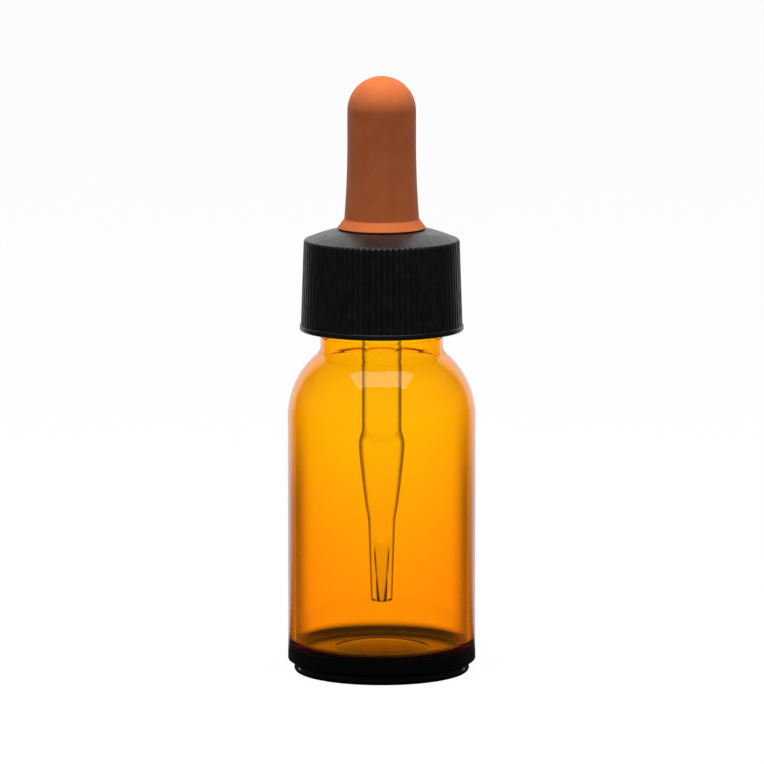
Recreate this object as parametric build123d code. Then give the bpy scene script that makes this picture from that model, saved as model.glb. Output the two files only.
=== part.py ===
from build123d import *

import math
import os

# Amber glass dropper bottle in millimetres. The common axis of all pieces is Z, the bottle stands on Z = 0,
# and every outline below is drawn as (radius, height) and turned about that axis.

# Glass bottle: barrel, shoulder and neck
body_diameter = 33.0
glass_wall = 1.35
barrel_top = 45.1
shoulder_radius = 14.7
neck_diameter = 21.5
neck_fillet = 1.9
finish_height = 16.6
rim_rounding = 0.4
mould_ledge_height = 1.8
mould_ledge_step = 0.14

# Glass bottle: stepped heel, pushed-up base and thick floor
foot_inset = 0.9
foot_waist = 0.4
foot_height = 1.4
foot_rounding = 0.6
heel_rise = 0.75
heel_rounding = 0.35
waist_rounding = 0.15
bearing_width = 2.4
push_up_height = 1.3
floor_height = 4.2
floor_corner_radius = 3.6
floor_dome_diameter = 16.8
floor_dome_rise = 1.1

# Glass pipette: flared top, tube, belly, taper and slim tip
pipette_diameter = 7.0
pipette_wall = 1.0
flare_width = 0.45
flare_height = 1.2
flare_rounding = 0.35
belly_diameter = 8.1
belly_wall = 0.9
belly_length = 8.8
belly_crest_drop = 2.7
taper_length = 8.7
taper_middle_diameter = 5.65
taper_middle_bore = 3.3
slim_diameter = 3.9
slim_bore = 1.6
slim_length = 13.2
tip_diameter = 3.7
tip_bore = 1.35
tip_rounding = 0.25
tip_clearance = 7.2

# Rubber bulb: collar and seal below the cap's web, skirt, barrel and dome above it
grip_interference = 0.08
collar_wall = 1.5
collar_length = 6.8
collar_rounding = 0.6
seal_thickness = 1.3
seal_margin = 0.35
groove_wall = 2.0
hub_clearance = 0.15
flare_room = 0.6
flare_seat_height = 0.4
base_wall = 2.0
barrel_wall = 1.6
barrel_narrowing = 0.55
skirt_width = 1.15
skirt_height = 1.75
skirt_rounding = 0.2
lip_height = 0.24
crease_fillet = 0.4
barrel_height = 13.9
straight_height = 5.1

# Screw cap: threaded skirt, ribs, bead and domed top
thread_height = 1.2
thread_clearance = 0.2
hole_clearance = 0.08
landing_width = 1.7
web_thickness = 1.35
dome_rise = 1.75
dome_bulge = 0.2
rim_rise = 1.0
rim_radius = 0.6
cap_wall = 1.5
cap_draft = 0.5
cap_foot_clearance = 2.8
bead_height = 0.95
bead_projection = 0.2
bead_top_rounding = 0.15
bead_foot_rounding = 0.35
entry_chamfer = 0.5
ceiling_rounding = 0.6
seat_width = 2.95
rib_count = 82
rib_depth = 0.28
rib_groove_width = 0.66

# Radii and heights that the pieces share
body_radius = body_diameter / 2
neck_radius = neck_diameter / 2
bore_radius = neck_radius - glass_wall
shoulder_centre = body_radius - shoulder_radius
neck_root = barrel_top + math.sqrt(
    (shoulder_radius + neck_fillet) ** 2 - (neck_radius + neck_fillet - shoulder_centre) ** 2
)
rim_height = neck_root + finish_height

pipette_radius = pipette_diameter / 2
flare_radius = pipette_radius + flare_width
groove_radius = pipette_radius + groove_wall
hole_radius = groove_radius + hole_clearance

ceiling_height = rim_height + seal_thickness
cap_bore_radius = neck_radius + thread_height + thread_clearance
cap_top_radius = cap_bore_radius + cap_wall
cap_foot_radius = cap_top_radius + cap_draft
cap_foot_height = neck_root + cap_foot_clearance
bead_top = cap_foot_height + bead_height
dome_edge_height = ceiling_height + rim_rise
landing_height = dome_edge_height + dome_rise
landing_radius = hole_radius + landing_width
rim_height_on_cap = dome_edge_height - rim_radius
recess_radius = cap_bore_radius - seat_width
recess_height = landing_height - web_thickness

cavity_base_radius = flare_radius + flare_room
bulb_base_radius = cavity_base_radius + base_wall
bulb_top_radius = bulb_base_radius - barrel_narrowing
skirt_top = landing_height + skirt_height
straight_bottom = skirt_top + barrel_height
dome_base = straight_bottom + straight_height
flare_seat = landing_height + flare_seat_height
tip_height = floor_height + floor_dome_rise + tip_clearance


def crown(radius, edge_height, rise):
    """Shallow arc from the axis out to an edge that lies lower by the rise."""
    sphere = (radius**2 + rise**2) / (2 * rise)
    middle = edge_height + rise - sphere + math.sqrt(sphere**2 - (radius / 2) ** 2)
    return ThreePointArc((0, edge_height + rise), (radius / 2, middle), (radius, edge_height))


def round_corner(face, corner, radius):
    """Fillets the corner of a flat section that is nearest to the given point."""
    return fillet(face.vertices().sort_by_distance((corner[0], corner[1], 0))[0], radius)


def turned(face):
    """Turns a section, drawn as (radius, height), about the common axis."""
    return revolve(Plane.XZ * face, axis=Axis.Z, revolution_arc=360)


def shoulder_outline(inset):
    """Shoulder arc and neck fillet, tangent to each other, at a depth below the outer surface of the glass."""
    rise = neck_root - barrel_top
    run = neck_radius + neck_fillet - shoulder_centre
    turn = math.degrees(math.atan2(rise, run))
    shoulder = CenterArc((shoulder_centre, barrel_top), shoulder_radius - inset, 0, turn)
    fillet_centre = (neck_radius + neck_fillet, neck_root)
    neck = CenterArc(fillet_centre, neck_fillet + inset, 180 + turn, -turn)
    return shoulder, neck


def make_bottle():
    foot_radius = body_radius - foot_inset
    waist_radius = foot_radius - foot_waist
    bearing_inner = foot_radius - bearing_width
    heel_top = foot_height + heel_rise
    ledge = neck_root + mould_ledge_height
    finish_radius = neck_radius - mould_ledge_step
    inner_radius = body_radius - glass_wall
    floor_flat_radius = inner_radius - floor_corner_radius

    outside = Polyline(
        (bearing_inner, 0),
        (foot_radius, 0),
        (waist_radius, foot_height),
        (body_radius, heel_top),
        (body_radius, barrel_top),
    )
    finish = Polyline(
        (neck_radius, neck_root),
        (neck_radius, ledge - mould_ledge_step),
        (finish_radius, ledge),
        (finish_radius, rim_height),
        (bore_radius, rim_height),
        (bore_radius, neck_root),
    )
    inside = Line((inner_radius, barrel_top), (inner_radius, floor_height + floor_corner_radius))
    floor_corner = CenterArc(
        (floor_flat_radius, floor_height + floor_corner_radius), floor_corner_radius, 0, -90
    )
    floor = Line((floor_flat_radius, floor_height), (floor_dome_diameter / 2, floor_height))
    floor_dome = crown(floor_dome_diameter / 2, floor_height, floor_dome_rise)
    axis = Line((0, floor_height + floor_dome_rise), (0, push_up_height))
    push_up = crown(bearing_inner, 0, push_up_height)

    outline = [push_up, outside, *shoulder_outline(0), finish, *shoulder_outline(glass_wall)]
    outline += [inside, floor_corner, floor, floor_dome, axis]
    section = make_face(outline)
    section = round_corner(section, (foot_radius, 0), foot_rounding)
    section = round_corner(section, (waist_radius, foot_height), waist_rounding)
    section = round_corner(section, (body_radius, heel_top), heel_rounding)
    section = round_corner(section, (finish_radius, rim_height), rim_rounding)
    section = round_corner(section, (bore_radius, rim_height), rim_rounding)
    return turned(section)


def make_pipette():
    slim_top = tip_height + slim_length
    taper_top = slim_top + taper_length
    belly_top = taper_top + belly_length
    belly_crest = belly_top - belly_crest_drop
    flare_top = flare_seat + flare_height
    tube_bore = pipette_radius - pipette_wall
    belly_bore = belly_diameter / 2 - belly_wall
    taper_middle = slim_top + taper_length / 2

    tip = Polyline(
        (tip_bore / 2, tip_height),
        (tip_diameter / 2, tip_height),
        (slim_diameter / 2, slim_top),
    )
    taper = Spline(
        (slim_diameter / 2, slim_top),
        (taper_middle_diameter / 2, taper_middle),
        (pipette_radius, taper_top),
        (belly_diameter / 2, belly_crest),
        tangents=[(0.1, 1), (0, 1)],
    )
    swelling = Spline(
        (belly_diameter / 2, belly_crest),
        (pipette_radius, belly_top),
        tangents=[(0, 1), (0, 1)],
    )
    tube = Polyline(
        (pipette_radius, belly_top),
        (pipette_radius, flare_seat),
        (flare_radius, flare_seat),
        (flare_radius, flare_top),
        (tube_bore, flare_top),
        (tube_bore, belly_top),
    )
    bore_swelling = Spline(
        (tube_bore, belly_top),
        (belly_bore, belly_crest),
        tangents=[(0, -1), (0, -1)],
    )
    bore_taper = Spline(
        (belly_bore, belly_crest),
        (tube_bore, taper_top),
        (taper_middle_bore / 2, taper_middle),
        (slim_bore / 2, slim_top),
        tangents=[(0, -1), (-0.1, -1)],
    )
    slim_bore_line = Line((slim_bore / 2, slim_top), (tip_bore / 2, tip_height))

    section = make_face([tip, taper, swelling, tube, bore_swelling, bore_taper, slim_bore_line])
    section = round_corner(section, (tip_diameter / 2, tip_height), tip_rounding)
    section = round_corner(section, (flare_radius, flare_top), flare_rounding)
    section = round_corner(section, (flare_radius, flare_seat), flare_rounding)
    section = round_corner(section, (tube_bore, flare_top), flare_rounding)
    return turned(section)


def make_bulb():
    lip_radius = bulb_base_radius + skirt_width
    lip_top = landing_height + lip_height
    seal_radius = neck_radius - seal_margin
    collar_radius = pipette_radius + collar_wall
    collar_bottom = rim_height - collar_length
    grip_radius = pipette_radius - grip_interference
    cavity_top_radius = bulb_top_radius - barrel_wall
    hub_slope = (recess_height - ceiling_height) / (recess_radius - hole_radius)
    hub_radius = recess_radius - hub_clearance / hub_slope
    hub_top = ceiling_height + hub_slope * (hub_radius - groove_radius)

    dome = CenterArc((0, dome_base), bulb_top_radius, 90, -90)
    straight = Line((bulb_top_radius, dome_base), (bulb_top_radius, straight_bottom))
    barrel = TangentArc((bulb_top_radius, straight_bottom), (bulb_base_radius, skirt_top), tangent=(0, -1))
    below = Polyline(
        (bulb_base_radius, skirt_top),
        (lip_radius, lip_top),
        (lip_radius, landing_height),
        (groove_radius, landing_height),
        (groove_radius, hub_top),
        (hub_radius, ceiling_height),
        (seal_radius, ceiling_height),
        (seal_radius, rim_height),
        (collar_radius, rim_height),
        (collar_radius, collar_bottom),
        (grip_radius, collar_bottom),
        (grip_radius, flare_seat),
        (cavity_base_radius, flare_seat),
        (cavity_top_radius, dome_base),
    )
    cavity_dome = CenterArc((0, dome_base), cavity_top_radius, 0, 90)
    axis = Line((0, dome_base + cavity_top_radius), (0, dome_base + bulb_top_radius))

    section = make_face([dome, straight, barrel, below, cavity_dome, axis])
    section = round_corner(section, (bulb_base_radius, skirt_top), crease_fillet)
    section = round_corner(section, (lip_radius, landing_height), skirt_rounding)
    section = round_corner(section, (seal_radius, ceiling_height), skirt_rounding)
    section = round_corner(section, (seal_radius, rim_height), skirt_rounding)
    section = round_corner(section, (collar_radius, collar_bottom), collar_rounding)
    section = round_corner(section, (cavity_base_radius, flare_seat), flare_rounding)
    return turned(section)


def rib_outline(crest_radius, height):
    """Star outline of the ribbed skirt at one height: a flat land on each rib and a V between two ribs."""
    pitch = 2 * math.pi / rib_count
    half_land = (pitch - rib_groove_width / cap_foot_radius) / 2
    valley_radius = crest_radius - rib_depth
    points = []
    for rib in range(rib_count):
        for radius, angle in (
            (crest_radius, rib * pitch - half_land),
            (crest_radius, rib * pitch + half_land),
            (valley_radius, (rib + 0.5) * pitch),
        ):
            points.append((radius * math.cos(angle), radius * math.sin(angle)))
    return Pos(0, 0, height) * make_face(Polyline(*points, close=True))


def make_ribbed_skirt():
    """Drafted ribs from the bead up, trimmed by the rounding of the cap's rim so that they run out on it."""
    trim_bottom = rim_height_on_cap - rim_radius / 2
    draft = cap_draft / (rim_height_on_cap - bead_top)
    crest_at_edge = cap_top_radius - draft * rim_radius
    ribs = loft(
        [rib_outline(cap_foot_radius, bead_top), rib_outline(crest_at_edge, dome_edge_height)],
        ruled=True,
    )
    trim = make_face(
        Polyline(
            (0, bead_top),
            (cap_foot_radius + rib_depth, bead_top),
            (cap_foot_radius + rib_depth, trim_bottom),
            (cap_top_radius, trim_bottom),
            (cap_top_radius, dome_edge_height),
            (0, dome_edge_height),
            close=True,
        )
    )
    return ribs & turned(round_corner(trim, (cap_top_radius, dome_edge_height), rim_radius))


def make_bead():
    bead_radius = cap_foot_radius + bead_projection
    section = make_face(
        Polyline(
            (0, cap_foot_height),
            (bead_radius, cap_foot_height),
            (bead_radius, bead_top),
            (0, bead_top),
            close=True,
        )
    )
    section = round_corner(section, (bead_radius, bead_top), bead_top_rounding)
    section = round_corner(section, (bead_radius, cap_foot_height), bead_foot_rounding)
    return turned(section)


def make_dome():
    edge_radius = cap_top_radius - rim_radius
    middle = ((landing_radius + edge_radius) / 2, (landing_height + dome_edge_height) / 2 + dome_bulge)
    curve = ThreePointArc((landing_radius, landing_height), middle, (edge_radius, dome_edge_height))
    rest = Polyline(
        (edge_radius, dome_edge_height),
        (0, dome_edge_height),
        (0, landing_height),
        (landing_radius, landing_height),
    )
    return turned(make_face([curve, rest]))


def make_cap_inside():
    """Room inside the cap: entry, threaded bore, seat for the seal, recess for the bulb's hub, and the hole."""
    section = make_face(
        Polyline(
            (0, cap_foot_height),
            (cap_bore_radius + entry_chamfer, cap_foot_height),
            (cap_bore_radius, cap_foot_height + entry_chamfer),
            (cap_bore_radius, ceiling_height),
            (recess_radius, ceiling_height),
            (hole_radius, recess_height),
            (hole_radius, landing_height),
            (0, landing_height),
            close=True,
        )
    )
    return turned(round_corner(section, (cap_bore_radius, ceiling_height), ceiling_rounding))


def make_cap():
    return make_ribbed_skirt() + make_bead() + make_dome() - make_cap_inside()


os.makedirs("parts", exist_ok=True)
export_step(make_bottle(), "parts/bottle.step")
export_step(make_pipette(), "parts/pipette.step")
export_step(make_bulb(), "parts/bulb.step")
export_step(make_cap(), "parts/cap.step")
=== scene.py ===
import logging
import math
from dataclasses import dataclass
from enum import Enum
from functools import partialmethod

import bpy
import bmesh
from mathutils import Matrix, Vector, noise


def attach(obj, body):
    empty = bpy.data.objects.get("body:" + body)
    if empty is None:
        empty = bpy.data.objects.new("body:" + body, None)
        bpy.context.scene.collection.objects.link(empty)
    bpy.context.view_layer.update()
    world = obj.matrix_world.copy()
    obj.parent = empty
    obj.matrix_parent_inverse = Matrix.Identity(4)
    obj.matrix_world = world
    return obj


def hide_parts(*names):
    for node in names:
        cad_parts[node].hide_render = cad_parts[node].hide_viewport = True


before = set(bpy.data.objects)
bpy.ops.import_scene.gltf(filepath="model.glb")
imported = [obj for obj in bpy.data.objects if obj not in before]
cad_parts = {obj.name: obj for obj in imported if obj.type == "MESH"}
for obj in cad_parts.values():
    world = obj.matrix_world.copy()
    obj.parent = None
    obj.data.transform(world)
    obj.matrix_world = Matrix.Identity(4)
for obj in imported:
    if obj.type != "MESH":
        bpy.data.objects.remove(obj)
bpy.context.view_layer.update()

# Sizes of the pieces are in millimetres, and a mesh gets them in metres.
MM = 0.001
SMALLEST = 1e-7
# Distance by which a band reaches past the wall that it takes in, in millimetres.
MARGIN = 0.1
# Angle between two points of a rounded corner, in degrees.
CORNER_STEP = 11.25
# Added before a fraction is taken, so that no number is negative.
LIFT = 2000.0
PHOTO_WIDTH = 764
WHITE = (1, 1, 1, 1)
OUTER_WALL = "outer_wall"
log = logging.getLogger("dropper_bottle")

Point = tuple[float, float]
Colour = tuple[float, float, float]
Socket = bpy.types.NodeSocket


class Wall(Enum):
    """Side of a wall that a ridge stands on: away from the common axis or towards it."""

    OUTER = 1.0
    INNER = -1.0


class Term:
    """A number that nodes work out, on which plain arithmetic can be done."""

    def __init__(self, sheet: "NodeSheet", socket: Socket) -> None:
        """Wraps an output.

        Args:
            sheet: The tree that the output belongs to.
            socket: The output with the number.
        """
        self.sheet, self.socket = sheet, socket

    def work(self, operation: str, *others: "Number") -> "Term":
        """Works out one number from this one.

        Args:
            operation: Name of the Math node's operation.
            others: The operation's other numbers.

        Returns:
            The result.
        """
        values = dict(enumerate((self, *others)))
        node = self.sheet.add("ShaderNodeMath", values, operation=operation)
        return Term(self.sheet, node.outputs[0])

    __add__ = partialmethod(work, "ADD")
    __sub__ = partialmethod(work, "SUBTRACT")
    __mul__ = partialmethod(work, "MULTIPLY")
    __truediv__ = partialmethod(work, "DIVIDE")


Number = float | Socket | Term


class NodeSheet:
    """A node tree under construction."""

    def __init__(self, tree: bpy.types.NodeTree) -> None:
        """Starts on a tree.

        Args:
            tree: The tree that the nodes go into.
        """
        self.tree = tree

    def add(self, kind: str, inputs: dict | None = None, **settings: object) -> bpy.types.Node:
        """Adds one node.

        Args:
            kind: Blender's name of the node's type.
            inputs: Sockets by name or number, each with a value or an output to join it to.
            settings: The node's own options.

        Returns:
            The new node.
        """
        node = self.tree.nodes.new(kind)
        for option, value in settings.items():
            setattr(node, option, value)
        for socket, value in (inputs or {}).items():
            if isinstance(value, Term):
                value = value.socket
            if isinstance(value, Socket):
                self.tree.links.new(value, node.inputs[socket])
            else:
                node.inputs[socket].default_value = value
        return node

    def blend(self, share: Number, first: Colour | Socket, second: Colour | Socket) -> Socket:
        """Mixes two colours.

        Args:
            share: How much of the second colour shows.
            first: The first colour, as numbers or as another output.
            second: The second colour, as numbers or as another output.

        Returns:
            The output with the mixed colour.
        """
        inputs = {0: share}
        for socket, colour in ((6, first), (7, second)):
            inputs[socket] = colour if isinstance(colour, Socket) else (*colour, 1)
        return self.add("ShaderNodeMix", inputs, data_type="RGBA").outputs[2]

    def ramp(
        self, value: Number, low: float, high: float, start: float = 0.0, end: float = 1.0
    ) -> Term:
        """Carries a value smoothly from one range to another, and holds it outside.

        Args:
            value: The number that is read.
            low: Value at which the result is start.
            high: Value at which the result is end.
            start: Result at the low end.
            end: Result at the high end.

        Returns:
            The result.
        """
        ends = {"From Min": low, "From Max": high, "To Min": start, "To Max": end}
        inputs = {"Value": value, **ends}
        node = self.add("ShaderNodeMapRange", inputs, interpolation_type="SMOOTHSTEP")
        return Term(self, node.outputs["Result"])

    def split(self, place: Socket) -> list[Term]:
        """Takes a position or a direction apart.

        Args:
            place: The output with the position.

        Returns:
            Its x, y and z.
        """
        node = self.add("ShaderNodeSeparateXYZ", {0: place})
        return [Term(self, socket) for socket in node.outputs]

    def close(self, skin: dict, body: bpy.types.Node | None = None) -> None:
        """Ends a material with its surface, and with what is inside it.

        Args:
            skin: Sockets of the surface's shader.
            body: The node that colours the light inside, if there is one.
        """
        ends = {"Surface": self.add("ShaderNodeBsdfPrincipled", skin).outputs[0]}
        if body:
            ends["Volume"] = body.outputs[0]
        self.add("ShaderNodeOutputMaterial", ends)


def from_axis(x: Term, y: Term) -> Term:
    """Distance of a place from the common axis.

    Args:
        x: The place's x.
        y: The place's y.

    Returns:
        The distance, a little above zero on the axis itself.
    """
    return (x * x + y * y).work("SQRT").work("MAXIMUM", SMALLEST)


class Recipe(NodeSheet):
    """A Geometry Nodes tree that works on one piece, with a named input for each size."""

    def __init__(self, name: str, sizes: dict[str, float]) -> None:
        """Opens the tree.

        Args:
            name: Name of the tree.
            sizes: The named inputs and the values that this piece gives them.
        """
        super().__init__(bpy.data.node_groups.new(name, "GeometryNodeTree"))
        self.sizes = sizes
        sockets = self.tree.interface
        sockets.new_socket("Piece", in_out="INPUT", socket_type="NodeSocketGeometry")
        sockets.new_socket("Piece", in_out="OUTPUT", socket_type="NodeSocketGeometry")
        for label in sizes:
            sockets.new_socket(label, in_out="INPUT", socket_type="NodeSocketFloat")
        outputs = self.add("NodeGroupInput").outputs
        self.piece = outputs["Piece"]
        self.given = {label: Term(self, outputs[label]) for label in sizes}

    def position(self) -> tuple[Term, ...]:
        """Reads where each point is.

        Returns:
            Its x, y, z and distance from the common axis.
        """
        x, y, z = self.split(self.add("GeometryNodeInputPosition").outputs[0])
        return x, y, z, from_axis(x, y)

    def move_out(self, distance: Term, material: bpy.types.Material) -> None:
        """Moves each point away from the axis, and ends the tree with its material.

        Args:
            distance: How far each point moves, negative towards the axis.
            material: The finish of the piece.
        """
        x, y, _, across = self.position()
        flat = self.add("ShaderNodeCombineXYZ", {0: x, 1: y}).outputs[0]
        scaled = {0: flat, "Scale": distance / across}
        offset = self.add("ShaderNodeVectorMath", scaled, operation="SCALE").outputs[0]
        moved = self.add("GeometryNodeSetPosition", {0: self.piece, "Offset": offset})
        real = self.add("GeometryNodeRealizeInstances", {0: moved.outputs[0]})
        dressed = self.add("GeometryNodeSetMaterial", {0: real.outputs[0], "Material": material})
        self.add("NodeGroupOutput", {0: dressed.outputs[0]})

    def apply(self, piece: bpy.types.Object) -> None:
        """Runs the tree on a piece and leaves the result as its plain mesh.

        Args:
            piece: The piece whose mesh is worked on.
        """
        modifier = piece.modifiers.new(self.tree.name, "NODES")
        modifier.node_group = self.tree
        for item in self.tree.interface.items_tree:
            if item.name in self.sizes:
                modifier[item.identifier] = float(self.sizes[item.name])
        graph = bpy.context.evaluated_depsgraph_get()
        worked = bpy.data.meshes.new_from_object(piece.evaluated_get(graph))
        piece.modifiers.remove(modifier)
        blank, piece.data = piece.data, worked
        bpy.data.meshes.remove(blank)
        worked.name = piece.name


def arc(centre: Point, radius: float, start: float, end: float, step: float = 3.0) -> list[Point]:
    """Points of a circular arc.

    Args:
        centre: Centre as (radius, height).
        radius: Radius of the arc.
        start: First angle in degrees, from the outward direction.
        end: Last angle in degrees.
        step: Largest angle between two points, in degrees.

    Returns:
        The points, both ends included.
    """
    count = max(2, math.ceil(abs(end - start) / step))
    turns = [math.radians(start + (end - start) * i / count) for i in range(count + 1)]
    return [(centre[0] + radius * math.cos(t), centre[1] + radius * math.sin(t)) for t in turns]


def through(first: Point, middle: Point, last: Point, count: int = 16) -> list[Point]:
    """Points of the circular arc through three points.

    Args:
        first: Start of the arc.
        middle: A point that the arc passes.
        last: End of the arc.
        count: Number of steps.

    Returns:
        The points, both ends included.
    """
    (ax, ay), (bx, by), (cx, cy) = first, middle, last
    spread = 2 * (ax * (by - cy) + bx * (cy - ay) + cx * (ay - by))
    a, b, c = ax * ax + ay * ay, bx * bx + by * by, cx * cx + cy * cy
    centre = (
        (a * (by - cy) + b * (cy - ay) + c * (ay - by)) / spread,
        (a * (cx - bx) + b * (ax - cx) + c * (bx - ax)) / spread,
    )
    start = math.atan2(ay - centre[1], ax - centre[0])
    sweep = math.remainder(math.atan2(cy - centre[1], cx - centre[0]) - start, math.tau)
    radius = math.dist(first, centre)
    turns = [start + sweep * i / count for i in range(count + 1)]
    return [(centre[0] + radius * math.cos(t), centre[1] + radius * math.sin(t)) for t in turns]


def crown(radius: float, edge: float, rise: float, count: int = 24) -> list[Point]:
    """Shallow arc from the axis out to an edge that lies lower by the rise.

    Args:
        radius: Distance of the edge from the axis.
        edge: Height of the edge.
        rise: Height of the middle above the edge.
        count: Number of steps.

    Returns:
        The points from the axis outwards.
    """
    sphere = (radius**2 + rise**2) / (2 * rise)
    radii = [radius * i / count for i in range(count + 1)]
    return [(r, edge + rise - sphere + math.sqrt(sphere**2 - r**2)) for r in radii]


def rounded(*corners: tuple[float, ...]) -> list[Point]:
    """Straight runs with rounded corners.

    Args:
        corners: (radius, height) of each corner, and as a third number the radius of its
            rounding, if it has one.

    Returns:
        The points along the runs and round the corners.
    """
    points = []
    for index, corner in enumerate(corners):
        here = Vector(corner[:2])
        if len(corner) < 3:
            points.append(tuple(here))
            continue
        before = (Vector(corners[index - 1][:2]) - here).normalized()
        after = (Vector(corners[index + 1][:2]) - here).normalized()
        half = before.angle(after) / 2
        centre = here + (before + after).normalized() * (corner[2] / math.sin(half))
        start = here + before * (corner[2] / math.tan(half)) - centre
        sweep = math.remainder(
            math.atan2(*reversed(here + after * (corner[2] / math.tan(half)) - centre))
            - math.atan2(*reversed(start)),
            math.tau,
        )
        angle = math.degrees(math.atan2(start.y, start.x))
        points += arc(tuple(centre), corner[2], angle, angle + math.degrees(sweep), CORNER_STEP)
    return points


def flowing(points: list[Point], steps: int = 12) -> list[Point]:
    """Smooth curve through points that rises or falls steadily in height.

    Args:
        points: The points, in order.
        steps: Number of steps between two of them.

    Returns:
        The points of the curve.
    """
    slopes = [0.0] * len(points)
    for i in range(1, len(points) - 1):
        (r0, z0), (r1, z1), (r2, z2) = points[i - 1 : i + 2]
        first, second = (r1 - r0) / (z1 - z0), (r2 - r1) / (z2 - z1)
        if first * second > 0:
            slopes[i] = 2 * first * second / (first + second)
    curve = []
    for (r0, z0), (r1, z1), s0, s1 in zip(points, points[1:], slopes, slopes[1:]):
        for step in range(steps):
            t = step / steps
            run = z1 - z0
            height = z0 + run * t
            radius = (
                (2 * t**3 - 3 * t**2 + 1) * r0
                + (t**3 - 2 * t**2 + t) * run * s0
                + (3 * t**2 - 2 * t**3) * r1
                + (t**3 - t**2) * run * s1
            )
            curve.append((radius, height))
    return curve + [points[-1]]


def steadied(points: list[Point], gap: float = 0.06) -> list[Point]:
    """Gives each long run a point close to either end, so that its shading stays straight.

    Args:
        points: The outline.
        gap: Distance of the new points from the ends.

    Returns:
        The outline with no doubled points and with the new ones.
    """
    single = [points[0]]
    for point in points[1:]:
        if math.dist(point, single[-1]) > SMALLEST / MM:
            single.append(point)
    result = [single[0]]
    for first, last in zip(single, single[1:]):
        length = math.dist(first, last)
        if length > 4 * gap:
            for t in (gap / length, 1 - gap / length):
                across, up = last[0] - first[0], last[1] - first[1]
                result.append((first[0] + across * t, first[1] + up * t))
        result.append(last)
    return result


def divided(points: list[Point], heights: Point, radii: Point, step: float) -> list[Point]:
    """Divides the long runs inside a band.

    Args:
        points: The outline.
        heights: Lower and upper height of the band.
        radii: Least and greatest radius of the band.
        step: Longest run that is left there.

    Returns:
        The outline with the new points.
    """
    result = [points[0]]
    for first, last in zip(points, points[1:]):
        start, end = Vector(first), Vector(last)
        rise = end.y - start.y
        lower, upper = sorted((first[1], last[1]))
        cuts = sorted((level - start.y) / rise for level in heights if lower < level < upper)
        for low, high in zip([0.0, *cuts], [*cuts, 1.0]):
            middle = start.lerp(end, (low + high) / 2)
            inside = heights[0] < middle.y < heights[1] and radii[0] < middle.x < radii[1]
            count = math.ceil((end - start).length * (high - low) / step) if inside else 1
            for i in range(1, count + 1):
                result.append(tuple(start.lerp(end, low + (high - low) * i / count)))
    return result


def even(count: int) -> list[float]:
    """Divides the full turn evenly.

    Args:
        count: Number of parts.

    Returns:
        The angles in radians.
    """
    return [math.tau * i / count for i in range(count)]


def new_piece(name: str, mesh: bmesh.types.BMesh) -> bpy.types.Object:
    """Puts a finished mesh into the scene.

    Args:
        name: Name of the piece.
        mesh: The mesh, which is used up.

    Returns:
        The piece.
    """
    data = bpy.data.meshes.new(name)
    mesh.to_mesh(data)
    mesh.free()
    piece = bpy.data.objects.new(name, data)
    bpy.context.scene.collection.objects.link(piece)
    return piece


def turned(name: str, outline: list[Point], angles: list[float]) -> bpy.types.Object:
    """Turns an outline about the common axis into a closed mesh.

    Args:
        name: Name of the piece.
        outline: Section in millimetres, either from the axis back to the axis or a closed ring.
        angles: Angles of the mesh's meridians.

    Returns:
        The piece, smooth shaded.
    """
    mesh = bmesh.new()
    rings = []
    for radius, height in outline:
        if radius * MM < SMALLEST:
            rings.append([mesh.verts.new((0, 0, height * MM))] * len(angles))
            continue
        ring = [(radius * MM * math.cos(a), radius * MM * math.sin(a), height * MM) for a in angles]
        rings.append([mesh.verts.new(place) for place in ring])
    closed = outline[0][0] * MM >= SMALLEST
    pairs = list(zip(rings, rings[1:])) + ([(rings[-1], rings[0])] if closed else [])
    for lower, upper in pairs:
        for i in range(len(angles)):
            j = (i + 1) % len(angles)
            corners = []
            for vertex in (lower[i], lower[j], upper[j], upper[i]):
                if vertex not in corners:
                    corners.append(vertex)
            if len(corners) > 2:
                mesh.faces.new(corners)
    bmesh.ops.recalc_face_normals(mesh, faces=mesh.faces)
    piece = new_piece(name, mesh)
    piece.data.shade_smooth()
    return piece


def settle(
    piece: bpy.types.Object, material: bpy.types.Material, body: str, node: str
) -> None:
    """Gives a finished piece its material and its body, hides the solid that it stands for, and
    logs it.

    Args:
        piece: The piece.
        material: Its finish.
        body: The body that it rides on.
        node: The solid that it stands for.
    """
    if not piece.data.materials:
        piece.data.materials.append(material)
    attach(piece, body)
    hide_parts(node)
    log.info("%s: %d faces, rides on %s", piece.name, len(piece.data.polygons), body)


def new_material(name: str) -> tuple[bpy.types.Material, NodeSheet]:
    """Opens an empty material.

    Args:
        name: Name of the material.

    Returns:
        The material and the sheet for its nodes.
    """
    material = bpy.data.materials.new(name)
    material.use_nodes = True
    material.node_tree.nodes.clear()
    return material, NodeSheet(material.node_tree)


@dataclass(frozen=True)
class Grain:
    """Fine unevenness of a surface, read from object coordinates."""

    size: float
    detail: float = 3.0
    stretch: tuple[float, float, float] = (1.0, 1.0, 1.0)

    def on(self, sheet: NodeSheet) -> Socket:
        """Adds the grain to a material.

        Args:
            sheet: The material's nodes.

        Returns:
            The grain as a number about 0.5.
        """
        place = sheet.add("ShaderNodeTexCoord").outputs["Object"]
        scaled = sheet.add("ShaderNodeMapping", {"Vector": place, "Scale": self.stretch}).outputs[0]
        pattern = {"Vector": scaled, "Scale": 1 / (self.size * MM), "Detail": self.detail}
        return sheet.add("ShaderNodeTexNoise", pattern).outputs[0]


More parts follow.
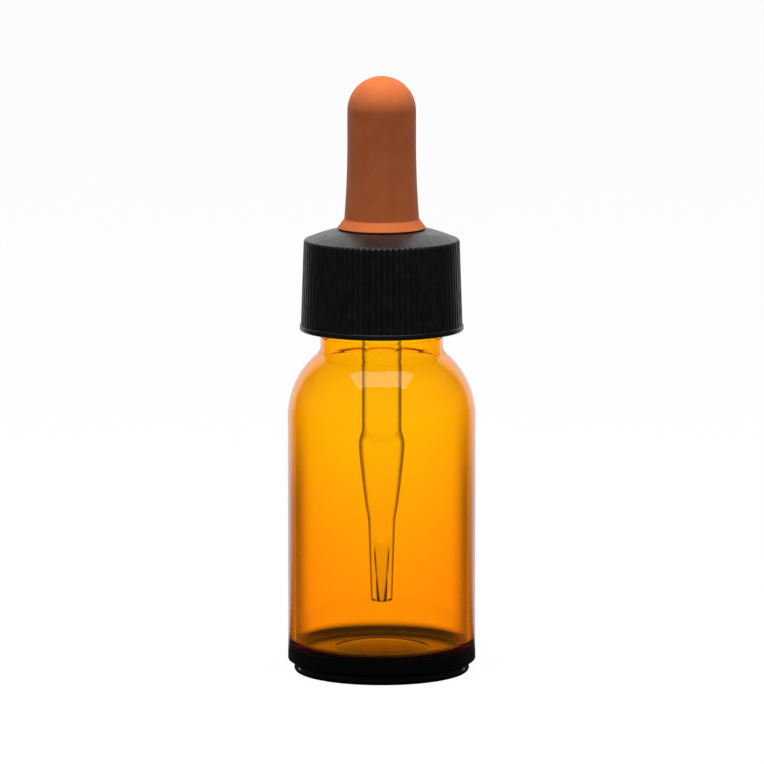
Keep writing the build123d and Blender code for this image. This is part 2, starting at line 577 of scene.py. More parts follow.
@dataclass(frozen=True)
class Glass:
    """A glass that bends light and colours it through its thickness."""

    absorption: float
    tint: Colour
    refraction: float = 1.5
    specular: float = 0.28

    def fill(self, sheet: NodeSheet, colour: Socket, roughness: Number, normal: Socket) -> None:
        """Ends the material.

        Args:
            sheet: The material's nodes.
            colour: Colour of the surface.
            roughness: Roughness of the surface.
            normal: The surface's direction with its unevenness.
        """
        skin = {
            "Base Color": colour,
            "Transmission Weight": 1.0,
            "Specular IOR Level": self.specular,
            "IOR": self.refraction,
            "Roughness": roughness,
            "Normal": normal,
        }
        inside = {"Color": (*self.tint, 1), "Density": self.absorption}
        sheet.close(skin, sheet.add("ShaderNodeVolumeAbsorption", inside))


@dataclass(frozen=True)
class AmberGlass(Glass):
    """Amber container glass, with faint ripples, a mould seam on two sides, and painted shade low
    down, in the base and along the edges.
    """

    absorption: float = 2600.0
    tint: Colour = (1.0, 0.892, 0.0)
    # Painted shade: the glass is tinted darker and more orange towards the bottom, fully below 8 mm
    # and fading out by 52 mm, for the dimmer table lit amber through the glass behind the lower
    # bottle.
    painted_low_shade: Colour = (1.0, 0.77, 0.6)
    painted_low_shade_heights: Point = (8.0, 52.0)
    # Painted shade: the base is painted black below 4.5 mm, fading out by 6.3 mm, partly for its
    # long path through the amber glass, partly for the shade of the table under it.
    painted_base_shade: Colour = (0.0, 0.0, 0.0)
    painted_base_shade_heights: Point = (4.5, 6.3)
    # Painted shade: the wall is darkened where it is seen edge on, fully below 28 mm and fading out
    # by 58 mm, partly for the longer path through the glass there, partly for darker surroundings
    # seen at the edges.
    painted_edge_shade: Colour = (0.14, 0.08, 0.04)
    painted_edge_shade_facing: Point = (0.35, 0.75)
    painted_edge_shade_heights: Point = (28.0, 58.0)
    ripple: Grain = Grain(9.0, 1.0, (1.0, 1.0, 0.45))
    ripple_depth: float = 0.035
    smear: Grain = Grain(5.0)
    smear_range: Point = (0.5, 0.75)
    smear_roughness: float = 0.02
    seam_width: float = 0.16
    seam_depth: float = 0.02

    def material(self) -> bpy.types.Material:
        """Builds the material.

        Returns:
            The finished material.
        """
        material, sheet = new_material("amber_glass")
        place = sheet.add("ShaderNodeTexCoord").outputs["Object"]
        _, across, height = sheet.split(place)
        facing = sheet.add("ShaderNodeLayerWeight", {"Blend": 0.5}).outputs["Facing"]
        # The colour carries painted shade: darker and more orange low down, black in the base and
        # dark at the edges.
        depth, edge_share, base = (
            sheet.ramp(height, low * MM, high * MM, 1.0, 0.0)
            for low, high in (self.painted_low_shade_heights, self.painted_edge_shade_heights, self.painted_base_shade_heights)
        )
        edge = sheet.ramp(facing, *self.painted_edge_shade_facing) * edge_share
        wall = sheet.blend(edge, sheet.blend(depth, (1, 1, 1), self.painted_low_shade), self.painted_edge_shade)
        colour = sheet.blend(base, wall, self.painted_base_shade)
        seam = sheet.ramp(across.work("ABSOLUTE"), 0, self.seam_width * MM, 1.0, 0.0)
        seam_bump = sheet.add("ShaderNodeBump", {"Height": seam, "Distance": self.seam_depth * MM})
        waves = {
            "Height": self.ripple.on(sheet),
            "Distance": self.ripple_depth * MM,
            "Normal": seam_bump.outputs[0],
        }
        smears = sheet.ramp(self.smear.on(sheet), *self.smear_range, 0.0, self.smear_roughness)
        self.fill(sheet, colour, smears, sheet.add("ShaderNodeBump", waves).outputs[0])
        return material


@dataclass(frozen=True)
class ClearGlass(Glass):
    """Clear drawn glass of the pipette, darker where the eye looks along its outer wall: painted
    shade.
    """

    absorption: float = 12.0
    tint: Colour = (0.8, 0.75, 0.7)
    # Painted shade: the outer wall is darkened where it is seen edge on, for the dark surroundings
    # seen along the wall.
    painted_edge_shade: Colour = (0.03, 0.008, 0.004)
    painted_edge_shade_facing: Point = (0.3, 0.56)
    ripple: Grain = Grain(3.0, 1.0, (1.0, 1.0, 0.3))
    ripple_depth: float = 0.012

    def material(self) -> bpy.types.Material:
        """Builds the material.

        Returns:
            The finished material.
        """
        material, sheet = new_material("clear_glass")
        facing = sheet.add("ShaderNodeLayerWeight", {"Blend": 0.5}).outputs["Facing"]
        outer = sheet.add("ShaderNodeAttribute", attribute_name=OUTER_WALL).outputs["Fac"]
        # Painted shade along the outer wall's edges.
        edge = sheet.ramp(facing, *self.painted_edge_shade_facing) * outer
        colour = sheet.blend(edge, (1, 1, 1), self.painted_edge_shade)
        waves = {"Height": self.ripple.on(sheet), "Distance": self.ripple_depth * MM}
        self.fill(sheet, colour, 0.0, sheet.add("ShaderNodeBump", waves).outputs[0])
        return material


@dataclass(frozen=True)
class Moulding:
    """An opaque moulded surface: uneven colour, uneven gloss and a fine grain."""

    name: str
    colour: Colour
    worn_colour: Colour
    roughness: float
    roughness_spread: float
    cloud: Grain
    grain: Grain
    grain_depth: float
    sheen: float = 0.0
    sheen_roughness: float = 0.5
    specular: float = 0.5
    worn_range: Point = (0.35, 0.7)
    dull_range: Point = (0.3, 0.7)

    def material(self) -> bpy.types.Material:
        """Builds the material.

        Returns:
            The finished material.
        """
        material, sheet = new_material(self.name)
        cloud = self.cloud.on(sheet)
        worn = sheet.ramp(cloud, *self.worn_range)
        low, high = self.roughness - self.roughness_spread, self.roughness + self.roughness_spread
        grain = {"Height": self.grain.on(sheet), "Distance": self.grain_depth * MM}
        skin = {
            "Base Color": sheet.blend(worn, self.colour, self.worn_colour),
            "Roughness": sheet.ramp(cloud, *self.dull_range, low, high),
            "Specular IOR Level": self.specular,
            "Sheen Weight": self.sheen,
            "Sheen Roughness": self.sheen_roughness,
            "Normal": sheet.add("ShaderNodeBump", grain).outputs[0],
        }
        sheet.close(skin)
        return material


RUBBER = Moulding(
    name="bulb_rubber",
    colour=(0.60, 0.140, 0.034),
    worn_colour=(0.64, 0.160, 0.044),
    roughness=0.72,
    roughness_spread=0.08,
    cloud=Grain(2.5, 4.0),
    grain=Grain(0.22, 3.0),
    grain_depth=0.02,
    sheen=0.15,
    sheen_roughness=0.4,
)
PLASTIC = Moulding(
    name="cap_plastic",
    colour=(0.006, 0.006, 0.0068),
    worn_colour=(0.010, 0.0098, 0.010),
    roughness=0.38,
    roughness_spread=0.07,
    cloud=Grain(1.6, 4.0),
    grain=Grain(0.16, 3.0),
    grain_depth=0.014,
    specular=0.85,
)


@dataclass(frozen=True)
class Thread:
    """Screw thread raised out of a turned wall."""

    height: float
    root: float
    crest: float
    spacing: float
    pitch: float = 3.175
    turns: float = 1.25
    run_out: float = 0.12

    def band(self, start: float) -> Point:
        """Heights that the ridge keeps within.

        Args:
            start: Height of the thread's start.

        Returns:
            The lower and the upper height.
        """
        return start - self.root, start + self.turns * self.pitch + self.root

    def recipe(
        self, material: bpy.types.Material, wall: Wall, wall_middle: float, start: float
    ) -> Recipe:
        """Writes the tree that raises the ridge.

        Args:
            material: The finish of the wall.
            wall: Which side of the wall the ridge stands on.
            wall_middle: Radius of the middle of the wall.
            start: Height of the thread's start.

        Returns:
            The tree, ready to run.
        """
        sizes = {
            "Start height": start * MM,
            "Pitch": self.pitch * MM,
            "Turns": self.turns,
            "Ridge height": self.height * wall.value * MM,
            "Root half width": self.root / 2 * MM,
            "Crest half width": self.crest / 2 * MM,
            "Run out": self.run_out,
            "Wall middle": wall_middle * MM,
        }
        recipe = Recipe("raised_thread", sizes)
        given = recipe.given
        x, y, z, across = recipe.position()
        part_turn = y.work("ARCTAN2", x) / math.tau + 0.5
        slope = given["Root half width"] - given["Crest half width"]
        ridge = 0.0
        for full_turns in range(math.ceil(self.turns)):
            along = part_turn + float(full_turns)
            centre = given["Start height"] + along * given["Pitch"]
            off = (z - centre).work("ABSOLUTE")
            profile = recipe.ramp((given["Root half width"] - off) / slope, 0, 1)
            ends = along.work("MINIMUM", given["Turns"] - along) / given["Run out"]
            ridge = (profile * recipe.ramp(ends, 0, 1)).work("MAXIMUM", ridge)
        side = "GREATER_THAN" if wall is Wall.OUTER else "LESS_THAN"
        raised = ridge * across.work(side, given["Wall middle"])
        recipe.move_out(raised * given["Ridge height"], material)
        return recipe


@dataclass(frozen=True)
class Bottle:
    """Amber glass bottle: thick floor, stepped heel, round shoulder and threaded neck."""

    body_radius: float = 16.5
    glass_wall: float = 1.35
    barrel_top: float = 45.1
    shoulder_radius: float = 14.7
    neck_radius: float = 10.75
    neck_fillet: float = 1.9
    finish_height: float = 16.6
    rim_rounding: float = 0.4
    mould_ledge_height: float = 1.8
    mould_ledge_step: float = 0.14
    foot_inset: float = 0.9
    foot_waist: float = 0.4
    foot_height: float = 1.4
    foot_rounding: float = 0.6
    heel_rise: float = 0.75
    heel_rounding: float = 0.35
    waist_rounding: float = 0.15
    bearing_width: float = 2.4
    push_up_height: float = 1.3
    floor_height: float = 4.2
    floor_corner_radius: float = 1.8
    floor_dome_radius: float = 8.4
    floor_dome_rise: float = 1.1
    thread_rise: float = 10.0
    thread: Thread = Thread(height=1.05, root=1.9, crest=0.7, spacing=0.2)
    unevenness: float = 0.05
    waves_per_metre: tuple[float, float, float] = (90.0, 90.0, 35.0)
    fade_height: float = 6.0
    shoulder_step: float = 1.5
    floor_step: float = 4.0
    meridians: int = 184
    finish: AmberGlass = AmberGlass()

    @property
    def neck_root(self) -> float:
        """Height at which the neck's fillet ends."""
        reach = self.shoulder_radius + self.neck_fillet
        return self.barrel_top + math.sqrt(reach**2 - self.shoulder_run**2)

    @property
    def shoulder_centre(self) -> float:
        """Distance of the shoulder arc's centre from the axis."""
        return self.body_radius - self.shoulder_radius

    @property
    def shoulder_run(self) -> float:
        """Distance across from the shoulder arc's centre to the neck fillet's."""
        return self.neck_radius + self.neck_fillet - self.shoulder_centre

    @property
    def rim_height(self) -> float:
        """Height of the mouth's rim."""
        return self.neck_root + self.finish_height

    @property
    def thread_start(self) -> float:
        """Height of the thread's start."""
        return self.neck_root + self.thread_rise

    @property
    def bore_radius(self) -> float:
        """Radius of the opening in the neck."""
        return self.neck_radius - self.glass_wall

    @property
    def finish_radius(self) -> float:
        """Radius of the neck above the mould ledge."""
        return self.neck_radius - self.mould_ledge_step

    def shoulder(self, inset: float) -> list[Point]:
        """Shoulder arc and neck fillet at a depth below the outer surface.

        Args:
            inset: The depth in the glass.

        Returns:
            The points from the barrel up to the neck.
        """
        turn = math.degrees(math.atan2(self.neck_root - self.barrel_top, self.shoulder_run))
        centre = (self.shoulder_centre, self.barrel_top)
        fillet_centre = (self.neck_radius + self.neck_fillet, self.neck_root)
        round_part = arc(centre, self.shoulder_radius - inset, 0, turn, self.shoulder_step)
        return round_part + arc(fillet_centre, self.neck_fillet + inset, 180 + turn, 180)

    def outline(self) -> list[Point]:
        """Section of the glass, from the push-up round the outside and back along the inside.

        Returns:
            The points in millimetres.
        """
        foot = self.body_radius - self.foot_inset
        waist = foot - self.foot_waist
        heel_top = self.foot_height + self.heel_rise
        ledge = self.neck_root + self.mould_ledge_height
        inner = self.body_radius - self.glass_wall
        floor_flat = inner - self.floor_corner_radius
        bearing = foot - self.bearing_width
        outside = crown(bearing, 0, self.push_up_height)[:-1] + rounded(
            (bearing, 0),
            (foot, 0, self.foot_rounding),
            (waist, self.foot_height, self.waist_rounding),
            (self.body_radius, heel_top, self.heel_rounding),
            (self.body_radius, self.barrel_top),
        )
        mouth = rounded(
            (self.neck_radius, ledge - self.mould_ledge_step),
            (self.finish_radius, ledge),
            (self.finish_radius, self.rim_height, self.rim_rounding),
            (self.bore_radius, self.rim_height, self.rim_rounding),
            (self.bore_radius, self.neck_root),
        )
        corner = (floor_flat, self.floor_height + self.floor_corner_radius)
        floor = arc(corner, self.floor_corner_radius, 0, -90, self.floor_step)
        dome = crown(self.floor_dome_radius, self.floor_height, self.floor_dome_rise)
        inside = self.shoulder(self.glass_wall)[::-1] + floor + dome[::-1]
        points = steadied(outside + self.shoulder(0) + mouth + inside)
        radii = (self.bore_radius + MARGIN, self.body_radius)
        return divided(points, self.thread.band(self.thread_start), radii, self.thread.spacing)

    def roughen(self, piece: bpy.types.Object) -> None:
        """Makes the inner wall as uneven as blown glass is.

        Args:
            piece: The turned bottle.
        """
        bottom, top = (self.floor_height + self.floor_dome_rise) * MM, self.barrel_top * MM
        middle = (self.body_radius - self.glass_wall / 2) * MM
        fade_height = self.fade_height * MM
        for vertex in piece.data.vertices:
            across, height = math.hypot(vertex.co.x, vertex.co.y), vertex.co.z
            if across > middle or not bottom <= height <= top:
                continue
            spot = Vector(part * waves for part, waves in zip(vertex.co, self.waves_per_metre))
            fade = min(1, (height - bottom) / fade_height, (top - height) / fade_height)
            push = noise.noise(spot) * self.unevenness * MM * fade
            scale = 1 + push / max(across, SMALLEST)
            vertex.co.x *= scale
            vertex.co.y *= scale

    def build(self) -> None:
        """Makes the bottle."""
        material = self.finish.material()
        piece = turned("bottle_glass", self.outline(), even(self.meridians))
        self.roughen(piece)
        wall_middle = self.finish_radius - self.glass_wall / 2
        recipe = self.thread.recipe(material, Wall.OUTER, wall_middle, self.thread_start)
        recipe.apply(piece)
        settle(piece, material, "bottle", "bottle")


@dataclass(frozen=True)
class Cap:
    """Screw cap: ribbed skirt on a bead, domed top with a hole, and a thread inside."""

    bottle: Bottle
    hole_radius: float = 5.58
    seal_thickness: float = 1.3
    thread_clearance: float = 0.2
    thread_room: float = 1.2
    landing_width: float = 1.7
    web_thickness: float = 1.35
    dome_rise: float = 1.75
    dome_bulge: float = 0.2
    rim_rise: float = 1.0
    rim_radius: float = 0.6
    wall: float = 1.5
    draft: float = 0.5
    foot_clearance: float = 2.8
    bead_height: float = 0.95
    bead_projection: float = 0.2
    bead_top_rounding: float = 0.15
    bead_foot_rounding: float = 0.35
    entry_chamfer: float = 0.5
    ceiling_rounding: float = 0.6
    seat_width: float = 2.95
    rib_count: int = 82
    rib_depth: float = 0.28
    rib_groove_width: float = 0.66
    rib_edge_share: float = 0.8
    rim_band: float = 0.2
    rim_spacing: float = 0.13
    thread: Thread = Thread(height=0.95, root=1.4, crest=0.5, spacing=0.3)
    finish: Moulding = PLASTIC

    @property
    def ceiling(self) -> float:
        """Height of the face that presses on the seal."""
        return self.bottle.rim_height + self.seal_thickness

    @property
    def thread_start(self) -> float:
        """Height of the thread's start, half a pitch below the bottle's."""
        return self.bottle.thread_start - self.thread.pitch / 2

    @property
    def bore_radius(self) -> float:
        """Radius of the wall that carries the thread."""
        return self.bottle.neck_radius + self.thread_room + self.thread_clearance

    @property
    def foot_height(self) -> float:
        """Height of the cap's open end."""
        return self.bottle.neck_root + self.foot_clearance

    @property
    def dome_edge(self) -> float:
        """Height of the dome's outer edge."""
        return self.ceiling + self.rim_rise

    @property
    def landing(self) -> float:
        """Height of the flat that the bulb's skirt sits on."""
        return self.dome_edge + self.dome_rise

    @property
    def recess_radius(self) -> float:
        """Radius of the coned recess at the ceiling."""
        return self.bore_radius - self.seat_width

    @property
    def recess_height(self) -> float:
        """Height of the coned recess at the hole."""
        return self.landing - self.web_thickness

    def meridians(self) -> list[float]:
        """Angles that meet each rib's land and each groove's edges and middle.

        Returns:
            The angles in radians.
        """
        pitch = math.tau / self.rib_count
        half_groove = self.rib_groove_width / (self.bore_radius + self.wall + self.draft) / 2
        half_land = pitch / 2 - half_groove
        share = self.rib_edge_share
        marks = (-half_land, -half_land * share, 0, half_land * share, half_land)
        marks += (half_land + half_groove * share, pitch / 2, pitch / 2 + half_groove * (1 - share))
        return [rib * pitch + mark for rib in range(self.rib_count) for mark in marks]

    def outline(self) -> list[Point]:
        """Section of the cap with plain walls, from the landing down the outside and up the inside.

        Returns:
            The points in millimetres.
        """
        top = self.bore_radius + self.wall
        foot = top + self.draft
        bead = foot + self.bead_projection
        bead_top = self.foot_height + self.bead_height
        landing_radius = self.hole_radius + self.landing_width
        edge = top - self.rim_radius
        middle_height = (self.landing + self.dome_edge) / 2 + self.dome_bulge
        middle = ((landing_radius + edge) / 2, middle_height)
        dome = through((landing_radius, self.landing), middle, (edge, self.dome_edge))
        rim = rounded(
            dome[-1],
            (top, self.dome_edge, self.rim_radius),
            (top, self.dome_edge - 2 * self.rim_radius),
        )
        skirt = rounded(
            (foot, bead_top),
            (bead, bead_top, self.bead_top_rounding),
            (bead, self.foot_height, self.bead_foot_rounding),
            (self.bore_radius + self.entry_chamfer, self.foot_height),
            (self.bore_radius, self.foot_height + self.entry_chamfer),
            (self.bore_radius, self.ceiling, self.ceiling_rounding),
            (self.recess_radius, self.ceiling),
            (self.hole_radius, self.recess_height),
            (self.hole_radius, self.landing),
        )
        points = steadied(dome + rim[:-1] + skirt)
        rim_heights = (self.ceiling - self.rim_band, self.dome_edge)
        points = divided(points, rim_heights, (edge, bead), self.rim_spacing)
        radii = (self.recess_radius, self.bore_radius + MARGIN)
        return divided(points, self.thread.band(self.thread_start), radii, self.thread.spacing)

    def ribs(self, material: bpy.types.Material) -> Recipe:
        """Cuts the grooves between the ribs into the skirt; they run out on the rounded rim.

        Args:
            material: The finish of the cap.

        Returns:
            The tree, ready to run.
        """
        top = self.bore_radius + self.wall
        sizes = {
            "Rib count": self.rib_count,
            "Groove depth": self.rib_depth * MM,
            "Groove half width": self.rib_groove_width / 2 * MM,
            "Radius at the bead": (top + self.draft) * MM,
            "Radius at the rim": top * MM,
            "Bead top": (self.foot_height + self.bead_height) * MM,
            "Rim": (self.dome_edge - self.rim_radius) * MM,
            "Wall middle": (self.bore_radius + self.wall / 2) * MM,
        }
        recipe = Recipe("ribbed_skirt", sizes)
        given = recipe.given
        x, y, z, across = recipe.position()
        rise = z - given["Bead top"]
        share = rise / (given["Rim"] - given["Bead top"])
        foot, ribs = given["Radius at the bead"], given["Rib count"]
        crest = foot + share * (given["Radius at the rim"] - foot)
        along = y.work("ARCTAN2", x) / math.tau * ribs
        from_valley = ((along + LIFT).work("FRACT") - 0.5).work("ABSOLUTE")
        off = from_valley * (foot * math.tau / ribs) / given["Groove half width"]
        depth = (off * -1.0 + 1.0).work("MAXIMUM", 0.0)
        cut = (crest - depth * given["Groove depth"] - across).work("MINIMUM", 0.0)
        outside = across.work("GREATER_THAN", given["Wall middle"])
        above = rise.work("GREATER_THAN", -SMALLEST)
        recipe.move_out(cut * outside * above, material)
        return recipe

    def build(self) -> None:
        """Makes the cap with its ribs and its inner thread."""
        material = self.finish.material()
        shell = turned("cap_shell", self.outline(), self.meridians())
        self.ribs(material).apply(shell)
        wall_middle = self.bore_radius + self.wall / 2
        recipe = self.thread.recipe(material, Wall.INNER, wall_middle, self.thread_start)
        recipe.apply(shell)
        settle(shell, material, "cap", "cap")


@dataclass(frozen=True)
class Pipette:
    """Clear glass pipette: flared top, tube, swelling and drawn-out tip."""

    cap: Cap
    radius: float = 3.5
    wall: float = 1.0
    flare_width: float = 0.45
    flare_height: float = 1.2
    flare_rounding: float = 0.35
    flare_seat_height: float = 0.4
    belly_radius: float = 4.05
    belly_wall: float = 0.9
    belly_length: float = 8.8
    belly_crest_drop: float = 2.7
    taper_length: float = 8.7
    taper_middle_radius: float = 2.95
    taper_middle_bore: float = 1.95
    slim_radius: float = 2.35
    slim_bore: float = 1.3
    slim_length: float = 13.2
    tip_radius: float = 1.9
    tip_bore: float = 0.675
    tip_rounding: float = 0.25
    tip_clearance: float = 7.2
    meridians: int = 128
    finish: ClearGlass = ClearGlass()

    def outline(self) -> list[Point]:
        """Section of the glass, from the tip up the outside and back down the bore.

        Returns:
            The points in millimetres.
        """
        bottle = self.cap.bottle
        tip = bottle.floor_height + bottle.floor_dome_rise + self.tip_clearance
        slim_top = tip + self.slim_length
        taper_top = slim_top + self.taper_length
        belly_top = taper_top + self.belly_length
        crest = belly_top - self.belly_crest_drop
        middle = slim_top + self.taper_length / 2
        seat = self.cap.landing + self.flare_seat_height
        top = seat + self.flare_height
        bore = self.radius - self.wall
        flare = self.radius + self.flare_width
        end = rounded(
            (self.tip_bore, tip),
            (self.tip_radius, tip, self.tip_rounding),
            (self.slim_radius, slim_top),
        )
        swelling = flowing(
            [
                (self.slim_radius, slim_top),
                (self.taper_middle_radius, middle),
                (self.radius, taper_top),
                (self.belly_radius, crest),
                (self.radius, belly_top),
            ]
        )
        flared = rounded(
            (self.radius, seat),
            (flare, seat, self.flare_rounding),
            (flare, top, self.flare_rounding),
            (bore, top, self.flare_rounding),
            (bore, belly_top),
        )
        hollow = flowing(
            [
                (bore, belly_top),
                (self.belly_radius - self.belly_wall, crest),
                (bore, taper_top),
                (self.taper_middle_bore, middle),
                (self.slim_bore, slim_top),
            ]
        )
        return steadied(end + swelling + flared + hollow)

    def build(self) -> None:
        """Makes the pipette."""
        material = self.finish.material()
        piece = turned("pipette_glass", self.outline(), even(self.meridians))
        # Marks the outer wall, where the glass gets its painted edge shade.
        marks = piece.data.attributes.new(OUTER_WALL, "FLOAT", "POINT")
        for mark, vertex in zip(marks.data, piece.data.vertices):
            mark.value = float(vertex.normal.x * vertex.co.x + vertex.normal.y * vertex.co.y > 0)
        settle(piece, material, "dropper", "pipette")


@dataclass(frozen=True)
class Bulb:
    """Rubber bulb: collar, seal and hub inside the cap, skirt, barrel and dome above it."""

    pipette: Pipette
    grip_interference: float = 0.08
    collar_wall: float = 1.5
    collar_length: float = 6.8
    collar_rounding: float = 0.6
    seal_margin: float = 0.35
    groove_wall: float = 2.0
    hub_clearance: float = 0.15
    flare_room: float = 0.6
    base_wall: float = 2.0
    barrel_wall: float = 1.6
    barrel_narrowing: float = 0.55
    skirt_width: float = 1.15
    skirt_height: float = 1.75
    skirt_rounding: float = 0.2
    lip_height: float = 0.24
    crease_fillet: float = 0.4
    barrel_height: float = 13.9
    straight_height: float = 5.1
    barrel_steps: int = 14
    meridians: int = 192
    finish: Moulding = RUBBER

    def outline(self) -> list[Point]:
        """Section of the rubber, from the top of the dome down the outside and up the hollow.

        Returns:
            The points in millimetres.
        """
        pipette, cap = self.pipette, self.pipette.cap
        landing, ceiling = cap.landing, cap.ceiling
        cavity = pipette.radius + pipette.flare_width + self.flare_room
        base = cavity + self.base_wall
        top = base - self.barrel_narrowing
        skirt_top = landing + self.skirt_height
        straight = skirt_top + self.barrel_height
        dome = straight + self.straight_height
        rim = cap.bottle.rim_height
        groove = pipette.radius + self.groove_wall
        slope = (cap.recess_height - ceiling) / (cap.recess_radius - cap.hole_radius)
        hub = cap.recess_radius - self.hub_clearance / slope
        seal = cap.bottle.neck_radius - self.seal_margin
        collar = pipette.radius + self.collar_wall
        grip = pipette.radius - self.grip_interference
        lip = base + self.skirt_width
        seat = landing + pipette.flare_seat_height
        sweep = (self.barrel_height**2 + self.barrel_narrowing**2) / (2 * self.barrel_narrowing)
        leans = math.degrees(math.asin(self.barrel_height / sweep))
        barrel = arc((top + sweep, straight), sweep, 180, 180 + leans, leans / self.barrel_steps)
        below = rounded(
            barrel[-2],
            (base, skirt_top, self.crease_fillet),
            (lip, landing + self.lip_height),
            (lip, landing, self.skirt_rounding),
            (groove, landing),
            (groove, ceiling + slope * (hub - groove)),
            (hub, ceiling),
            (seal, ceiling, self.skirt_rounding),
            (seal, rim, self.skirt_rounding),
            (collar, rim),
            (collar, rim - self.collar_length, self.collar_rounding),
            (grip, rim - self.collar_length),
            (grip, seat),
            (cavity, seat, pipette.flare_rounding),
            (top - self.barrel_wall, dome),
        )
        shell = arc((0, dome), top, 90, 0)
        hollow = arc((0, dome), top - self.barrel_wall, 0, 90)
        return steadied(shell + barrel[:-1] + below + hollow)

    def build(self) -> None:
        """Makes the bulb."""
        material = self.finish.material()
        piece = turned("bulb_rubber", self.outline(), even(self.meridians))
        settle(piece, material, "dropper", "bulb")


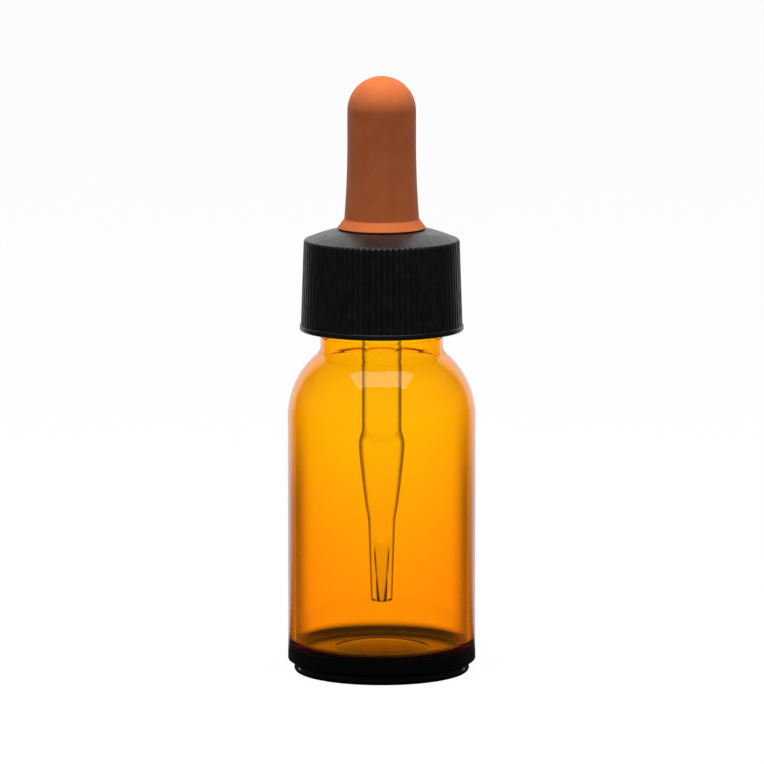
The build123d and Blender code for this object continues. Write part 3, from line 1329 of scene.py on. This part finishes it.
@dataclass(frozen=True)
class Studio:
    """White table, white surround, overhead soft light and the camera."""

    aim: tuple[float, float, float] = (0.0, 0.0, 0.0514)
    distance: float = 1.2035
    elevation: float = 8.37
    lens: float = 323.6
    sensor: float = 36.0
    shift: Point = (0.3, -1.0)
    view_depth: float = 100.0
    floor_radius: float = 8.0
    floor_sides: int = 128
    floor_share: float = 0.97
    floor_tone: float = 0.95
    floor_in_glass: float = 0.2
    bounce: float = 0.15
    contact_shadow: Point = (18.0, 50.0)
    behind_shares: Point = (0.62, 0.87)
    backlight: float = 1.1
    ambient: float = 0.06
    sky_in_glass: tuple[float, ...] = (0.06, 0.45, 1.0, 0.05)
    sky_in_gloss: tuple[float, ...] = (0.5, 1.0, 1.0, 0.9)
    lamp_place: tuple[float, float, float] = (0.0, -0.09, 0.62)
    lamp_size: tuple[float, float] = (0.62, 0.36)
    lamp_power: float = 6.2
    card_place: tuple[float, float, float] = (0.0, -0.275, 0.62)
    card_size: tuple[float, float] = (0.72, 0.35)
    card_strength: float = 2.1

    def camera(self) -> None:
        """Sets the camera at the photograph's angle."""
        lens = bpy.data.cameras.new("camera")
        lens.lens = self.lens
        lens.sensor_width = self.sensor
        lens.shift_x, lens.shift_y = (pixels / PHOTO_WIDTH for pixels in self.shift)
        lens.clip_end = self.view_depth
        camera = bpy.data.objects.new("camera", lens)
        tilt = math.radians(self.elevation)
        back = Vector((0, -math.cos(tilt), math.sin(tilt)))
        camera.location = Vector(self.aim) + back * self.distance
        camera.rotation_euler = (-back).to_track_quat("-Z", "Y").to_euler()
        bpy.context.scene.collection.objects.link(camera)
        bpy.context.scene.camera = camera

    def behind(self, sheet: NodeSheet, place: Socket) -> Term:
        """How far a direction points behind the object, from 0 in front to 1.

        Args:
            sheet: The nodes of the floor or the world.
            place: Position or direction from the object.

        Returns:
            The number.
        """
        x, y, _ = sheet.split(place)
        return sheet.ramp(y / from_axis(x, y), *self.behind_shares)

    @staticmethod
    def rays(sheet: NodeSheet) -> list[Term]:
        """Tells the kinds of ray apart.

        Args:
            sheet: The nodes of the floor or the world.

        Returns:
            1 or 0 for a camera ray, a glossy ray and a ray through glass.
        """
        outputs = sheet.add("ShaderNodeLightPath").outputs
        kinds = ("Camera", "Glossy", "Transmission")
        return [Term(sheet, outputs[f"Is {kind} Ray"]) for kind in kinds]

    def floor(self) -> None:
        """Lays the table."""
        mesh = bmesh.new()
        sides = self.floor_sides
        bmesh.ops.create_circle(mesh, cap_ends=True, radius=self.floor_radius, segments=sides)
        table = new_piece("table", mesh)
        material, sheet = new_material("table_white")
        camera_ray, glossy_ray, glass_ray = self.rays(sheet)
        place = sheet.add("ShaderNodeTexCoord").outputs["Object"]
        away = sheet.add("ShaderNodeVectorMath", {0: place}, operation="LENGTH")
        clear = sheet.ramp(away.outputs["Value"], *(edge * MM for edge in self.contact_shadow))
        seen = (camera_ray * self.floor_share).work("MAXIMUM", glass_ray * clear)
        share = seen.work("MAXIMUM", glossy_ray * self.behind(sheet, place))
        plain = sheet.ramp(camera_ray, 0, 1, self.bounce, self.floor_tone)
        in_glass = glossy_ray.work("MAXIMUM", glass_ray)
        colour = plain * sheet.ramp(in_glass, 0, 1, 1.0, self.floor_in_glass)
        lit = sheet.add("ShaderNodeBsdfDiffuse", {"Color": colour})
        strength = sheet.ramp(glass_ray, 0, 1, 1.0, self.backlight)
        white = sheet.add("ShaderNodeEmission", {"Color": WHITE, "Strength": strength})
        mixed = sheet.add("ShaderNodeMixShader", {0: share, 1: lit.outputs[0], 2: white.outputs[0]})
        sheet.add("ShaderNodeOutputMaterial", {"Surface": mixed.outputs[0]})
        table.data.materials.append(material)

    def surround(self) -> None:
        """Makes the world white where it is seen and dim where it lights."""
        world = bpy.data.worlds.new("surround")
        bpy.context.scene.world = world
        world.use_nodes = True
        world.node_tree.nodes.clear()
        sheet = NodeSheet(world.node_tree)
        camera_ray, glossy_ray, glass_ray = self.rays(sheet)
        direction = sheet.add("ShaderNodeTexCoord").outputs["Generated"]
        height = sheet.split(direction)[2]
        behind = self.behind(sheet, direction) * sheet.ramp(height, *self.sky_in_gloss)
        in_glass = glass_ray * sheet.ramp(height, *self.sky_in_glass)
        seen = camera_ray.work("MAXIMUM", in_glass).work("MAXIMUM", glossy_ray * behind)
        strength = sheet.ramp(seen, 0, 1, self.ambient, 1.0)
        sky = sheet.add("ShaderNodeBackground", {"Color": WHITE, "Strength": strength})
        sheet.add("ShaderNodeOutputWorld", {"Surface": sky.outputs[0]})

    def lamp(self) -> None:
        """Hangs the soft light overhead, and the card that glossy surfaces see in its place."""
        light = bpy.data.lights.new("overhead", "AREA")
        light.shape = "RECTANGLE"
        light.size, light.size_y = self.lamp_size
        light.energy = self.lamp_power
        lamp = bpy.data.objects.new("overhead", light)
        lamp.location = self.lamp_place
        lamp.visible_glossy = False
        lamp.visible_transmission = False
        bpy.context.scene.collection.objects.link(lamp)

        mesh = bmesh.new()
        bmesh.ops.create_grid(mesh, x_segments=1, y_segments=1, size=0.5)
        width, depth = self.card_size
        for vertex in mesh.verts:
            vertex.co = vertex.co * Vector((width, depth, 1)) + Vector(self.card_place)
        card = new_piece("soft_card", mesh)
        for ray in ("camera", "diffuse", "transmission", "shadow", "volume_scatter"):
            setattr(card, "visible_" + ray, False)
        material, sheet = new_material("soft_card")
        glow = sheet.add("ShaderNodeEmission", {"Color": WHITE, "Strength": self.card_strength})
        sheet.add("ShaderNodeOutputMaterial", {"Surface": glow.outputs[0]})
        card.data.materials.append(material)

    def build(self) -> None:
        """Sets up everything round the object."""
        bpy.context.scene.view_settings.view_transform = "Standard"
        self.camera()
        self.floor()
        self.surround()
        self.lamp()
        log.info("studio: camera %.1f degrees above level", self.elevation)


def main() -> None:
    """Builds the studio and the four pieces."""
    logging.basicConfig(level=logging.INFO, format="%(name)s: %(message)s")
    Studio().build()
    bottle = Bottle()
    cap = Cap(bottle)
    bottle.build()
    cap.build()
    pipette = Pipette(cap)
    Bulb(pipette).build()
    pipette.build()


if __name__ == "__main__":
    main()
